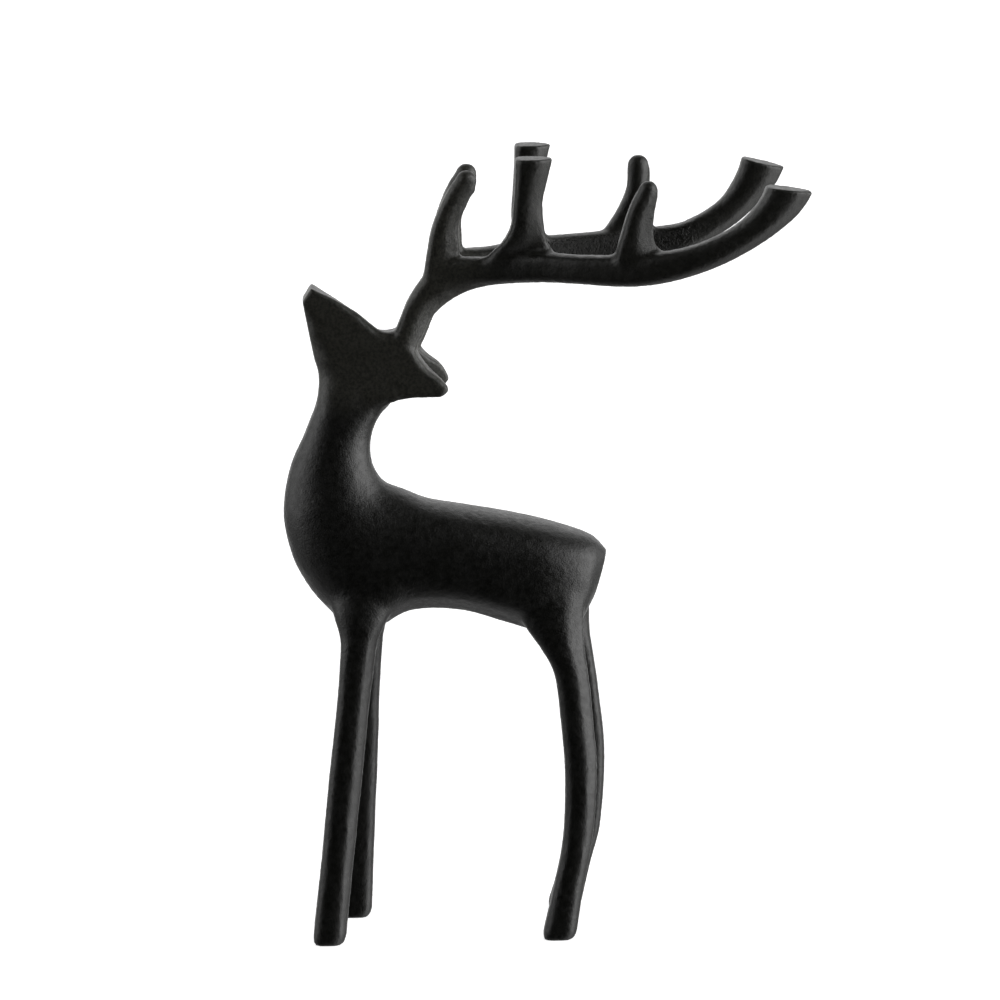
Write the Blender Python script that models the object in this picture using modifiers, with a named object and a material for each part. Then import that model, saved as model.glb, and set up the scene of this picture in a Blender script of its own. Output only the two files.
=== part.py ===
"""Cast iron stag statue: one casting that stands on four slim legs with its head thrown up.

The figure faces -X and stands on z = 0. Its pose and proportions are stations in figure units, where
the whole height is FIGURE_UNITS of them, so one unit is about a millimetre at the real height.
"""

import math

import bmesh
import bpy
import numpy as np

# Driving dimension, in metres: from the soles to the flat tops of the second tines
HEIGHT = 0.300
FIGURE_UNITS = 299.0
UNIT = HEIGHT / FIGURE_UNITS

# Skin of the casting, in figure units: voxel, smoothing that leaves the fillets, growth that makes up
# for the smoothing, and the share of the faces kept
GRAIN = 1.2
FILLET_PASSES = 12
FILLET_FACTOR = 0.5
SHRINKAGE = 0.15
FACE_SHARE = 0.075

# Lofts: points around a section and rings between two stations
SECTION_POINTS = 28
RINGS_PER_SPAN = 6
DOME_RINGS = 4
DOME_ANGLE = 82.0

# How square a section is: 2 is an ellipse, larger is boxier
ROUND = 2.1
TRUNK_SQUARE = 2.4
SOFT_SQUARE = 2.8

# Trunk and neck from rump to head: belly or chest edge x, z, back edge x, z, lateral place, half width
TRUNK = (
    (16.0, 127.4, 22.6, 146.4, 0.0, 8.0),
    (9.6, 118.0, 16.0, 152.4, 0.0, 15.8),
    (-2.0, 115.2, 2.0, 157.2, 0.0, 20.8),
    (-17.0, 119.6, -14.0, 161.4, 0.0, 21.8),
    (-34.0, 125.2, -31.0, 164.8, 0.0, 21.5),
    (-53.0, 125.0, -45.0, 167.6, 0.0, 21.0),
    (-71.0, 117.0, -54.0, 171.2, 0.0, 20.5),
    (-85.0, 128.2, -61.8, 173.9, 0.0, 19.8),
    (-95.2, 142.0, -65.0, 177.7, 0.0, 18.4),
    (-99.6, 157.0, -66.2, 182.2, 0.0, 16.6),
    (-99.9, 168.5, -66.7, 186.8, 0.0, 14.4),
    (-96.6, 182.4, -66.4, 191.2, 0.0, 12.4),
    (-92.2, 193.0, -65.2, 195.6, 0.0, 11.0),
    (-89.0, 201.0, -62.6, 200.0, 0.0, 10.2),
    (-86.6, 208.5, -59.0, 204.4, 0.0, 9.5),
    (-85.0, 216.0, -55.0, 209.5, 0.0, 8.7),
)

# Legs from body to sole: front edge x, z, rear edge x, z, distance from the middle plane, half width
FRONT_LEG = (
    (-82.0, 150.0, -56.0, 150.0, 8.4, 8.0),
    (-86.2, 138.0, -56.0, 138.0, 10.8, 8.8),
    (-82.8, 127.0, -60.2, 127.0, 13.0, 7.8),
    (-79.8, 117.0, -65.2, 117.0, 14.8, 6.6),
    (-80.2, 107.0, -67.0, 107.0, 15.9, 5.9),
    (-82.1, 88.0, -69.8, 88.0, 17.0, 5.5),
    (-85.0, 66.0, -72.3, 66.0, 17.9, 5.5),
    (-87.7, 42.0, -75.4, 42.0, 18.9, 5.6),
    (-90.7, 18.0, -78.2, 18.0, 19.8, 5.8),
    (-92.5, 3.0, -80.0, 3.0, 20.3, 5.9),
)
HIND_LEG = (
    (-16.0, 150.0, 8.0, 150.0, 8.0, 9.0),
    (-16.4, 137.0, 14.0, 137.6, 11.0, 9.5),
    (-12.2, 122.0, 13.2, 124.0, 13.7, 8.0),
    (-3.9, 112.0, 12.6, 113.0, 15.4, 7.0),
    (1.2, 103.0, 13.7, 103.0, 16.6, 6.2),
    (3.2, 90.0, 14.9, 90.0, 17.4, 5.7),
    (4.8, 66.0, 16.2, 66.0, 18.4, 5.5),
    (3.4, 40.0, 14.6, 40.0, 19.4, 5.5),
    (-1.7, 18.0, 11.2, 18.0, 20.2, 5.6),
    (-5.2, 3.0, 8.2, 3.0, 20.6, 5.7),
)

# The far legs stand a little behind the near ones: set back at the body, at the knee and at the sole
FAR_FRONT_SET_BACK = (3.0, 6.0, 10.2)
FAR_HIND_SET_BACK = (3.4, 4.6, 5.0)
FAR_HIND_SPREAD = 4.0
LEG_TOP = 110.0
LEG_KNEE = 66.0

# Rounded edge of a sole: height over the ground, and how far the section draws in there
SOLE_RINGS = ((1.3, 0.1), (0.6, 0.35), (-0.2, 1.3), (-1.6, 2.1))

# Antler beam from head to tip: lower edge x, z, upper edge x, z, distance from the middle plane, half width
BEAM = (
    (-51.0, 221.0, -58.0, 229.4, 5.6, 4.5),
    (-46.8, 229.4, -55.0, 236.6, 6.2, 4.6),
    (-43.3, 237.0, -51.7, 244.4, 6.8, 4.8),
    (-36.6, 243.6, -46.6, 252.2, 7.7, 5.0),
    (-27.2, 248.5, -37.0, 260.0, 9.5, 5.3),
    (-16.0, 251.0, -20.0, 261.2, 13.7, 5.6),
    (-1.0, 252.2, -3.0, 263.2, 20.1, 5.8),
    (13.0, 252.2, 12.6, 263.0, 27.4, 5.6),
    (30.0, 252.0, 30.0, 263.6, 34.0, 5.6),
    (46.0, 254.6, 44.4, 265.2, 38.4, 5.5),
    (62.0, 259.6, 57.0, 268.8, 40.8, 5.5),
    (77.0, 267.2, 69.0, 275.0, 42.0, 5.6),
    (90.0, 277.2, 77.4, 283.0, 42.6, 6.4),
    (98.0, 287.0, 83.4, 290.6, 43.0, 7.4),
    (100.4, 292.6, 84.6, 295.4, 43.0, 8.0),
)

# Tines from beam to tip: front edge x, z, rear edge x, z, distance from the middle plane, half width
FIRST_TINE = (
    (-46.2, 253.0, -33.0, 253.0, 8.8, 4.4),
    (-44.4, 262.6, -31.9, 264.6, 9.0, 4.7),
    (-42.3, 271.0, -31.9, 273.0, 9.2, 4.6),
    (-39.2, 280.0, -28.2, 281.6, 9.5, 4.4),
    (-35.6, 287.2, -25.4, 286.8, 9.6, 4.1),
    (-32.9, 290.0, -24.8, 289.2, 9.6, 3.8),
)
SECOND_TINE = (
    (-15.0, 255.0, 0.0, 255.0, 18.6, 4.8),
    (-14.4, 263.6, 1.8, 264.4, 19.4, 5.2),
    (-12.4, 273.0, -0.4, 273.6, 20.5, 5.4),
    (-11.7, 282.0, -1.0, 282.0, 21.6, 5.6),
    (-11.0, 291.0, 1.2, 291.0, 22.3, 6.3),
    (-10.7, 299.6, 3.7, 299.6, 22.7, 7.4),
    (-10.6, 303.0, 4.6, 303.0, 22.9, 7.9),
)
THIRD_TINE = (
    (24.0, 256.6, 42.0, 256.6, 34.4, 4.6),
    (25.4, 264.2, 40.2, 265.0, 34.8, 4.9),
    (27.9, 272.0, 39.2, 272.4, 35.2, 4.7),
    (30.0, 280.0, 40.0, 280.0, 35.6, 4.4),
    (32.8, 286.4, 41.2, 285.4, 35.8, 4.1),
    (34.2, 288.6, 41.3, 287.4, 35.8, 3.8),
)
FAR_THIRD_TINE = (
    (23.0, 256.6, 42.0, 256.6, 34.4, 4.6),
    (24.0, 264.2, 40.4, 265.0, 34.8, 4.9),
    (29.0, 272.0, 40.0, 272.4, 35.2, 4.7),
    (32.0, 280.0, 40.6, 280.0, 35.6, 4.4),
    (32.4, 286.6, 41.0, 286.0, 35.8, 4.1),
    (32.4, 289.2, 40.7, 288.2, 35.8, 3.9),
)

# The far antler isn't quite the near one's mirror image: at x, how far back and how far up it is moved
FAR_ANTLER_SHIFT = (
    (-50.0, 2.0, 0.0),
    (-38.0, 1.4, 0.0),
    (-28.0, 0.4, 0.2),
    (-10.0, 0.6, 0.6),
    (24.0, 1.2, 0.8),
    (44.0, 1.3, -0.6),
    (55.0, 1.2, -2.0),
    (64.0, 1.1, -1.6),
    (72.0, 1.0, -0.6),
    (80.0, -0.8, 0.0),
    (92.0, -2.7, 0.0),
)

# Head seen from its side, from the nose round over the forehead and the ears to the throat: x, z
HEAD_OUTLINE = (
    (-91.4, 244.6),
    (-87.8, 250.0),
    (-79.0, 244.2),
    (-70.4, 239.0),
    (-62.0, 232.2),
    (-54.8, 232.2),
    (-49.8, 227.4),
    (-45.4, 220.8),
    (-38.7, 215.8),
    (-36.6, 211.4),
    (-39.6, 207.8),
    (-50.0, 207.6),
    (-58.0, 206.8),
    (-66.0, 206.4),
    (-81.0, 208.2),
    (-86.2, 214.5),
    (-88.2, 223.0),
    (-90.0, 234.0),
)
HEAD_NOSE_HALF = 8.2
HEAD_BACK_HALF = 11.8
HEAD_NOSE_X = -88.0
HEAD_BACK_X = -38.0
HEAD_EDGE = 0.7
HEAD_EDGE_SEGMENTS = 2

# A smaller head inside the crisp one, which gives the neck and the antlers their fillets
HEAD_CORE_SHARE = 0.9

# Groove between the ears: its deepest point and its mouth, half its width at each, and its reach
# across them
EAR_GROOVE_ROOT = (-53.0, 222.0)
EAR_GROOVE_MOUTH = (-30.0, 205.0)
EAR_GROOVE_ROOT_HALF = 1.4
EAR_GROOVE_MOUTH_HALF = 8.0
EAR_GROOVE_REACH_DOWN = 12.0
EAR_GROOVE_REACH_UP = 30.0

# Flat cut on each beam tip: a point on it and how far it falls towards the rear, in degrees
TIP_CUT_POINT = (90.6, 288.0)
TIP_CUT_FALL = 8.0

# Cutters: height, which is the small ones' length too, length of the ground one, and width of all
CUTTER_HEIGHT = 60.0
CUTTER_LENGTH = 400.0
CUTTER_WIDTH = 200.0
SECOND_TINE_X = -3.0

SHARP_ANGLE = 40.0

IRON_COLOUR = (0.012, 0.012, 0.012, 1.0)
IRON_ROUGHNESS = 0.46
IRON_METALLIC = 0.25


def clear_scene():
    """Remove whatever the scene holds."""
    for old in list(bpy.data.objects):
        bpy.data.objects.remove(old, do_unlink=True)


def collection(name):
    """A new collection under the scene."""
    group = bpy.data.collections.new(name)
    bpy.context.scene.collection.children.link(group)
    return group


def iron():
    """Black satin paint on cast iron."""
    material = bpy.data.materials.new("black_iron")
    material.use_nodes = True
    shader = material.node_tree.nodes["Principled BSDF"]
    shader.inputs["Base Color"].default_value = IRON_COLOUR
    shader.inputs["Roughness"].default_value = IRON_ROUGHNESS
    shader.inputs["Metallic"].default_value = IRON_METALLIC
    return material


def spline(stations):
    """Rows on a Catmull-Rom curve through the stations."""
    rows = np.array(stations, dtype=float)
    padded = np.vstack([2 * rows[0] - rows[1], rows, 2 * rows[-1] - rows[-2]])
    out = []
    for before, start, end, after in zip(padded, padded[1:], padded[2:], padded[3:]):
        for t in np.arange(RINGS_PER_SPAN) / RINGS_PER_SPAN:
            slope = end - before
            bend = 2 * before - 5 * start + 4 * end - after
            twist = 3 * start - before - 3 * end + after
            out.append(0.5 * (2 * start + slope * t + bend * t**2 + twist * t**3))
    out.append(rows[-1])
    return np.array(out)


def domed(rows):
    """The rows with a round end: rings that close in on a point half a section past the last one."""
    last = rows[-1]
    middle = (last[:2] + last[2:4]) / 2
    half = (last[2:4] - last[:2]) / 2
    forward = np.array([-half[1], half[0]])
    if forward @ (middle - (rows[-2][:2] + rows[-2][2:4]) / 2) < 0:
        forward = -forward
    out = [rows]
    for step in range(1, DOME_RINGS + 1):
        angle = math.radians(DOME_ANGLE) * step / DOME_RINGS
        centre = middle + forward * math.sin(angle)
        reach = half * math.cos(angle)
        out.append([[*(centre - reach), *(centre + reach), last[4], last[5] * math.cos(angle)]])
    return np.vstack(out)


def section(row, squareness):
    """Points of one superellipse section, from its two edges, its lateral place and its half width."""
    angles = np.arange(SECTION_POINTS) * 2 * math.pi / SECTION_POINTS
    power = 2.0 / squareness
    across = np.sign(np.cos(angles)) * np.abs(np.cos(angles)) ** power
    side = np.sign(np.sin(angles)) * np.abs(np.sin(angles)) ** power
    middle = (row[:2] + row[2:4]) / 2
    half = (row[2:4] - row[:2]) / 2
    x = middle[0] + half[0] * across
    z = middle[1] + half[1] * across
    y = row[4] + row[5] * side
    return np.stack([x, y, z], axis=1)


def loft(name, rows, squareness, group):
    """A closed body through the sections of the rows."""
    mesh = bmesh.new()
    rings = [[mesh.verts.new(point * UNIT) for point in section(row, squareness)] for row in rows]
    for lower, upper in zip(rings, rings[1:]):
        for i in range(SECTION_POINTS):
            j = (i + 1) % SECTION_POINTS
            mesh.faces.new((lower[i], lower[j], upper[j], upper[i]))
    mesh.faces.new(rings[0][::-1])
    mesh.faces.new(rings[-1])
    bmesh.ops.recalc_face_normals(mesh, faces=mesh.faces)
    return finish_mesh(name, mesh, group)


def finish_mesh(name, mesh, group):
    """Put a bmesh into a new object of the group."""
    data = bpy.data.meshes.new(name)
    mesh.to_mesh(data)
    mesh.free()
    made = bpy.data.objects.new(name, data)
    group.objects.link(made)
    return made


def placed(stations, side, shift=None):
    """Station rows on one side: the lateral place takes the side's sign, and the shift moves x and z."""
    rows = spline(stations)
    rows[:, 4] *= side
    if shift is not None:
        back, up = shift(rows)
        rows[:, [0, 2]] += back[:, None]
        rows[:, [1, 3]] += up[:, None]
    return rows


def leg_shift(amounts):
    """How far a far leg's row stands behind the near one: at the body, the knee and the sole."""
    top, knee, sole_back = amounts

    def shift(rows):
        heights = (rows[:, 1] + rows[:, 3]) / 2
        back = np.interp(heights, (0.0, LEG_KNEE, LEG_TOP), (sole_back, knee, top))
        return back, np.zeros(len(rows))

    return shift


def antler_shift(rows):
    """How far the far antler's rows stand behind and over the near one's."""
    places, back, up = zip(*FAR_ANTLER_SHIFT)
    place = (rows[:, 0] + rows[:, 2]) / 2
    return np.interp(place, places, back), np.interp(place, places, up)


def sole(rows):
    """Leg rows that close in to the sole's rounded edge and end a little below the ground."""
    last = rows[-1]
    middle = (last[0] + last[2]) / 2
    out = [rows]
    for height, inset in SOLE_RINGS:
        half = (last[2] - last[0]) / 2 - inset
        out.append([[middle - half, height, middle + half, height, last[4], last[5] - inset]])
    return np.vstack(out)


def legs(group):
    """Four legs, near ones at -Y: the far ones stand behind them by their set back."""
    made = []
    for side in (-1, 1):
        front_shift = leg_shift(FAR_FRONT_SET_BACK) if side > 0 else None
        hind_shift = leg_shift(FAR_HIND_SET_BACK) if side > 0 else None
        front = sole(placed(FRONT_LEG, side, front_shift))
        hind = placed(HIND_LEG, side, hind_shift)
        if side > 0:
            hind[:, 4] += FAR_HIND_SPREAD * np.clip(1.0 - hind[:, 1] / LEG_TOP, 0.0, 1.0)
        made.append(loft("front_leg", front, SOFT_SQUARE, group))
        made.append(loft("hind_leg", sole(hind), SOFT_SQUARE, group))
    return made


def antlers(group):
    """Two beams with three tines each."""
    made = []
    for side in (-1, 1):
        shift = antler_shift if side > 0 else None
        third_tine = FAR_THIRD_TINE if side > 0 else THIRD_TINE
        made.append(loft("beam", placed(BEAM, side, shift), SOFT_SQUARE, group))
        made.append(loft("first_tine", domed(placed(FIRST_TINE, side, shift)), ROUND, group))
        made.append(loft("second_tine", placed(SECOND_TINE, side, shift), ROUND, group))
        made.append(loft("third_tine", domed(placed(third_tine, side, shift)), ROUND, group))
    return made


def head(share, group):
    """A flat-sided head: its outline carried across, wider at the ears than at the nose."""
    mesh = bmesh.new()
    sides = []
    outline = np.array(HEAD_OUTLINE)
    outline = outline.mean(axis=0) + share * (outline - outline.mean(axis=0))
    halves = share * np.interp(outline[:, 0], (HEAD_NOSE_X, HEAD_BACK_X), (HEAD_NOSE_HALF, HEAD_BACK_HALF))
    for side in (-1, 1):
        ring = []
        for (x, z), half in zip(outline, halves):
            ring.append(mesh.verts.new((x * UNIT, side * half * UNIT, z * UNIT)))
        sides.append(ring)
    near, far = sides
    mesh.faces.new(near)
    mesh.faces.new(far[::-1])
    for i in range(len(near)):
        j = (i + 1) % len(near)
        mesh.faces.new((near[j], near[i], far[i], far[j]))
    bmesh.ops.recalc_face_normals(mesh, faces=mesh.faces)
    flat = [edge for edge in mesh.edges if len(edge.link_faces) == 2]
    bmesh.ops.bevel(
        mesh,
        geom=flat,
        offset=HEAD_EDGE * UNIT,
        offset_type="OFFSET",
        segments=HEAD_EDGE_SEGMENTS,
        profile=0.5,
        affect="EDGES",
        clamp_overlap=True,
    )
    return finish_mesh("head", mesh, group)


def block(name, centre, size, tilt, group):
    """A box cutter, turned about the lateral axis by tilt degrees."""
    bpy.ops.mesh.primitive_cube_add(size=1.0)
    made = bpy.context.active_object
    made.name = name
    made.scale = [length * UNIT for length in size]
    bpy.ops.object.transform_apply(location=False, rotation=False, scale=True)
    made.rotation_euler = (0.0, math.radians(tilt), 0.0)
    made.location = [value * UNIT for value in centre]
    for owner in list(made.users_collection):
        owner.objects.unlink(made)
    group.objects.link(made)
    made.hide_render = True
    made.display_type = "WIRE"
    return made


def cutters(group):
    """The ground, the level over the second tines, and the flat cut on the beam tips."""
    half = CUTTER_HEIGHT / 2
    whole = (CUTTER_LENGTH, CUTTER_WIDTH, CUTTER_HEIGHT)
    tine = (CUTTER_HEIGHT, CUTTER_WIDTH, CUTTER_HEIGHT)
    ground = block("ground_cut", (0.0, 0.0, -half), whole, 0.0, group)
    level = block("level_cut", (SECOND_TINE_X, 0.0, FIGURE_UNITS + half), tine, 0.0, group)
    fall = math.radians(TIP_CUT_FALL)
    x, z = TIP_CUT_POINT
    over_tip = (x + half * math.sin(fall), 0.0, z + half * math.cos(fall))
    tip = block("tip_cut", over_tip, tine, TIP_CUT_FALL, group)
    return [ground, level, tip, ear_groove(group)]


def ear_groove(group):
    """A wedge that parts the two ears, narrow at its root and open at its mouth."""
    root = np.array(EAR_GROOVE_ROOT)
    mouth = np.array(EAR_GROOVE_MOUTH)
    along = (mouth - root) / np.linalg.norm(mouth - root)
    across = np.array([-along[1], along[0]])
    corners = []
    for end, half in ((root, EAR_GROOVE_ROOT_HALF), (mouth, EAR_GROOVE_MOUTH_HALF)):
        for lift in (-EAR_GROOVE_REACH_DOWN, EAR_GROOVE_REACH_UP):
            for side in (-1, 1):
                x, z = end + across * lift
                corners.append((x * UNIT, side * half * UNIT, z * UNIT))
    mesh = bmesh.new()
    verts = [mesh.verts.new(corner) for corner in corners]
    bmesh.ops.convex_hull(mesh, input=verts)
    bmesh.ops.recalc_face_normals(mesh, faces=mesh.faces)
    made = finish_mesh("ear_groove_cut", mesh, group)
    made.hide_render = True
    made.display_type = "WIRE"
    return made


def apply_modifiers(target):
    """Turn the object's evaluated mesh into its own mesh."""
    graph = bpy.context.evaluated_depsgraph_get()
    graph.update()
    baked = bpy.data.meshes.new_from_object(target.evaluated_get(graph))
    target.modifiers.clear()
    target.data = baked


def join(pieces, name):
    """Bring the lofts into one object, still as bodies that cross each other."""
    mesh = bmesh.new()
    for piece in pieces:
        mesh.from_mesh(piece.data)
    owner = pieces[0].users_collection[0]
    for piece in pieces:
        bpy.data.objects.remove(piece, do_unlink=True)
    return finish_mesh(name, mesh, owner)


def fuse(stag):
    """Fuse the crossing lofts into one skin, with soft fillets where they meet, and thin its faces."""
    skin = stag.modifiers.new("skin", "REMESH")
    skin.mode = "VOXEL"
    skin.voxel_size = GRAIN * UNIT
    soften = stag.modifiers.new("fillets", "SMOOTH")
    soften.factor = FILLET_FACTOR
    soften.iterations = round(FILLET_PASSES)
    regrow = stag.modifiers.new("regrow", "DISPLACE")
    regrow.strength = SHRINKAGE * UNIT
    regrow.mid_level = 0.0
    thin = stag.modifiers.new("thin", "DECIMATE")
    thin.ratio = FACE_SHARE
    thin.use_collapse_triangulate = True
    apply_modifiers(stag)


def boolean(stag, other, operation):
    """Add or cut another closed body."""
    step = stag.modifiers.new(other.name, "BOOLEAN")
    step.operation = operation
    step.object = other
    step.solver = "EXACT"
    apply_modifiers(stag)


def centre(stag):
    """Move the mesh so that the origin is under the middle of its box."""
    points = np.empty(len(stag.data.vertices) * 3, dtype=np.float32)
    stag.data.vertices.foreach_get("co", points)
    points = points.reshape(-1, 3)
    middle = (points.min(axis=0) + points.max(axis=0)) / 2
    points[:, :2] -= middle[:2]
    stag.data.vertices.foreach_set("co", points.ravel())
    stag.data.update()


def main():
    """Build the casting: soft forms first, then the crisp head, then the flat cuts."""
    clear_scene()
    figure = collection("cast_iron_stag")
    tools = collection("cutters")
    trunk = loft("trunk", spline(TRUNK), TRUNK_SQUARE, figure)
    core = head(HEAD_CORE_SHARE, figure)
    stag = join([trunk, core, *legs(figure), *antlers(figure)], "stag")
    fuse(stag)
    skull = head(1.0, tools)
    boolean(stag, skull, "UNION")
    bpy.data.objects.remove(skull, do_unlink=True)
    for cutter in cutters(tools):
        boolean(stag, cutter, "DIFFERENCE")
    centre(stag)
    stag.data.materials.clear()
    stag.data.materials.append(iron())
    stag.data.shade_smooth()
    stag.data.set_sharp_from_angle(angle=math.radians(SHARP_ANGLE))


main()
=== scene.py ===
"""Cast iron stag statue, painted black: the visual model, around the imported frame.

The casting is worked out in figure units, where the whole height is FIGURE_UNITS of them, so one unit
is about a millimetre. It faces -X, its near side is at -Y, and it stands on z = 0.
"""

import sys
import logging
import math
from dataclasses import dataclass
from enum import Enum

import bpy
import numpy as np
from mathutils import Matrix, Vector


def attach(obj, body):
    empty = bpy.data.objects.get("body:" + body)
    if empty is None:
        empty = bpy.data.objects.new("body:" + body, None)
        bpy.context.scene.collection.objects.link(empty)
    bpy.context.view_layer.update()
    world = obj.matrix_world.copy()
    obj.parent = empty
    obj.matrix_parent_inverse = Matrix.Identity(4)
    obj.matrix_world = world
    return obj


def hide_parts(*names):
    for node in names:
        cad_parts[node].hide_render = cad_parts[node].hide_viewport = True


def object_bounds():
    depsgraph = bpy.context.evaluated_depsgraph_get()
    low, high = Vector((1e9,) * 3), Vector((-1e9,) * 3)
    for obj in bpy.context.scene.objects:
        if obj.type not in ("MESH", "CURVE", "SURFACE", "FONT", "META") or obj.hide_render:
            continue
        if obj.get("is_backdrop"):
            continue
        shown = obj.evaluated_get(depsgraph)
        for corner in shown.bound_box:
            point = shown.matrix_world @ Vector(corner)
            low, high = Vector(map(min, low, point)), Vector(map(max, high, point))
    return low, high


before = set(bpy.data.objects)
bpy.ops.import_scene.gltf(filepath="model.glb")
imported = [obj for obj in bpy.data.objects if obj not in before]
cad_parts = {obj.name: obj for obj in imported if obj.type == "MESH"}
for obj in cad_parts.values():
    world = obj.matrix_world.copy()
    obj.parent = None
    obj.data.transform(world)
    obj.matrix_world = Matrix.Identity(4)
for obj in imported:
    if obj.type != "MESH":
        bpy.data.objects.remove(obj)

CAD_LOW, CAD_HIGH = (np.array(corner, dtype=float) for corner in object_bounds())

HEIGHT = 0.300
FIGURE_UNITS = 299.0
UNIT = HEIGHT / FIGURE_UNITS

Station = tuple[float, ...]
Surface = tuple[np.ndarray, np.ndarray]
Socket = bpy.types.NodeSocket

log = logging.getLogger("stag")


class Side(Enum):
    """Which side of the middle plane a limb is on: the camera sees the near one."""

    NEAR = -1
    FAR = 1


class Cut(Enum):
    """What a closed body does to the casting."""

    ADD = "UNION"
    TAKE = "DIFFERENCE"


@dataclass(frozen=True)
class Weave:
    """How finely the lofts are drawn."""

    around: int = 40
    rings_per_span: int = 8
    dome_rings: int = 7
    dome_angle: float = 84.0


WEAVE = Weave()

# Half width left at a bevelled edge, as a share of the section's half width
BEVEL_FOOT = 0.35
# A bevel of a smaller share than this isn't made
LEAST_BEVEL = 1e-2
# Share that stands in for none at all, so that nothing is divided by 0
NO_BEVEL = 1e-3
# Share of the way to the mean of its neighbours that a point moves in one smoothing pass
SMOOTHING_STEP = 0.5
# Shortest and longest wave of a random field, as shares of its usual wavelength
WAVE_SPAN = (0.7, 1.4)


def spline(stations: tuple[Station, ...]) -> np.ndarray:
    """Rows on a smooth curve through the stations.

    Formula: Catmull-Rom, half of (2 b + (c - a) t + (2 a - 5 b + 4 c - d) t^2 + (3 b - a - 3 c + d) t^3)
    for four neighbouring stations a, b, c, d and t from 0 to 1 between b and c.

    Args:
        stations: rows of equal length.

    Returns:
        The rows of the curve, as a float array.
    """
    rows = np.array(stations, dtype=float)
    padded = np.vstack([2 * rows[0] - rows[1], rows, 2 * rows[-1] - rows[-2]])
    before, start, end, after = (padded[i : len(padded) - 3 + i, None, :] for i in range(4))
    t = (np.arange(WEAVE.rings_per_span) / WEAVE.rings_per_span)[None, :, None]
    bend = 2 * before - 5 * start + 4 * end - after
    twist = 3 * start - before - 3 * end + after
    curve = 0.5 * (2 * start + (end - before) * t + bend * t**2 + twist * t**3)
    return np.vstack([curve.reshape(-1, rows.shape[1]), rows[-1:]])


def domed(rows: np.ndarray) -> np.ndarray:
    """Close the last section with a round end.

    Formula: a ring at angle u stands sin(u) half sections past the last one and has cos(u) of its size.

    Args:
        rows: edge a x, z, edge b x, z, lateral place, half width, squareness, bevel.

    Returns:
        The rows with the rings of the dome after them.
    """
    last = rows[-1]
    middle = (last[:2] + last[2:4]) / 2
    half = (last[2:4] - last[:2]) / 2
    forward = np.array([-half[1], half[0]])
    if forward @ (middle - (rows[-2][:2] + rows[-2][2:4]) / 2) < 0:
        forward = -forward
    step = np.arange(1, WEAVE.dome_rings + 1)[:, None]
    angle = math.radians(WEAVE.dome_angle) * step / WEAVE.dome_rings
    centre = middle + forward * np.sin(angle)
    reach = half * np.cos(angle)
    rest = np.repeat(last[None, 4:], len(angle), axis=0)
    rest[:, 1] *= np.cos(angle[:, 0])
    return np.vstack([rows, np.hstack([centre - reach, centre + reach, rest])])


def grid_faces(rings: int, around: int) -> np.ndarray:
    """Triangles of a tube of rings, closed at both ends by a fan to one more point each.

    Args:
        rings: how many rings the tube has.
        around: how many points each ring has.

    Returns:
        Point indices, three a face. The fans use the points rings * around and rings * around + 1.
    """
    ring, step = np.meshgrid(np.arange(rings - 1), np.arange(around), indexing="ij")
    a = (ring * around + step).ravel()
    b = (ring * around + (step + 1) % around).ravel()
    c, d = b + around, a + around
    first = np.arange(around)
    following = (first + 1) % around
    top = (rings - 1) * around
    start = np.full(around, rings * around)
    walls = np.vstack([np.stack([a, b, c], axis=1), np.stack([a, c, d], axis=1)])
    floor = np.stack([following, first, start], axis=1)
    roof = np.stack([top + first, top + following, start + 1], axis=1)
    return np.vstack([walls, floor, roof])


def loft(rows: np.ndarray) -> Surface:
    """A closed body through superellipse sections, each with a bevel along one of its edges.

    Formula: at angle u round a section of squareness n, the point is middle + half * a between the two
    edges and place + width * w across them, with a = sign(cos u) |cos u|^(2/n) and
    w = sign(sin u) |sin u|^(2/n). A bevel of share v draws w in on the last v of the way to its edge, in
    a straight line down to BEVEL_FOOT at the edge. A negative v bevels edge a, a positive one edge b.

    Args:
        rows: edge a x, z, edge b x, z, lateral place, half width, squareness, bevel.

    Returns:
        Points in figure units, and triangles.
    """
    angle = np.arange(WEAVE.around)[None, :] * 2 * math.pi / WEAVE.around
    power = 2.0 / rows[:, 6:7]
    across = np.sign(np.cos(angle)) * np.abs(np.cos(angle)) ** power
    width = np.abs(np.sin(angle)) ** power
    bevel = rows[:, 7:8]
    share = np.maximum(np.abs(bevel), NO_BEVEL)
    drawn_in = BEVEL_FOOT + (1 - BEVEL_FOOT) * (1 - across * np.sign(bevel)) / share
    bevelled = np.where(share > LEAST_BEVEL, np.minimum(width, drawn_in), width)
    side = np.sign(np.sin(angle)) * bevelled
    middle = (rows[:, 0:2] + rows[:, 2:4]) / 2
    half = (rows[:, 2:4] - rows[:, 0:2]) / 2
    x = middle[:, :1] + half[:, :1] * across
    z = middle[:, 1:] + half[:, 1:] * across
    y = rows[:, 4:5] + rows[:, 5:6] * side
    grid = np.stack([x, y, z], axis=2)
    ends = np.stack([grid[0].mean(axis=0), grid[-1].mean(axis=0)])
    return np.vstack([grid.reshape(-1, 3), ends]), grid_faces(len(rows), WEAVE.around)


def joined(surfaces: list[Surface]) -> Surface:
    """Several surfaces as one, still as bodies that cross each other.

    Args:
        surfaces: points and triangles of each.

    Returns:
        All points and all triangles, in the order given.
    """
    starts = np.cumsum([0] + [len(points) for points, _ in surfaces[:-1]])
    points = np.vstack([points for points, _ in surfaces])
    return points, np.vstack([faces + start for (_, faces), start in zip(surfaces, starts)])


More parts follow.
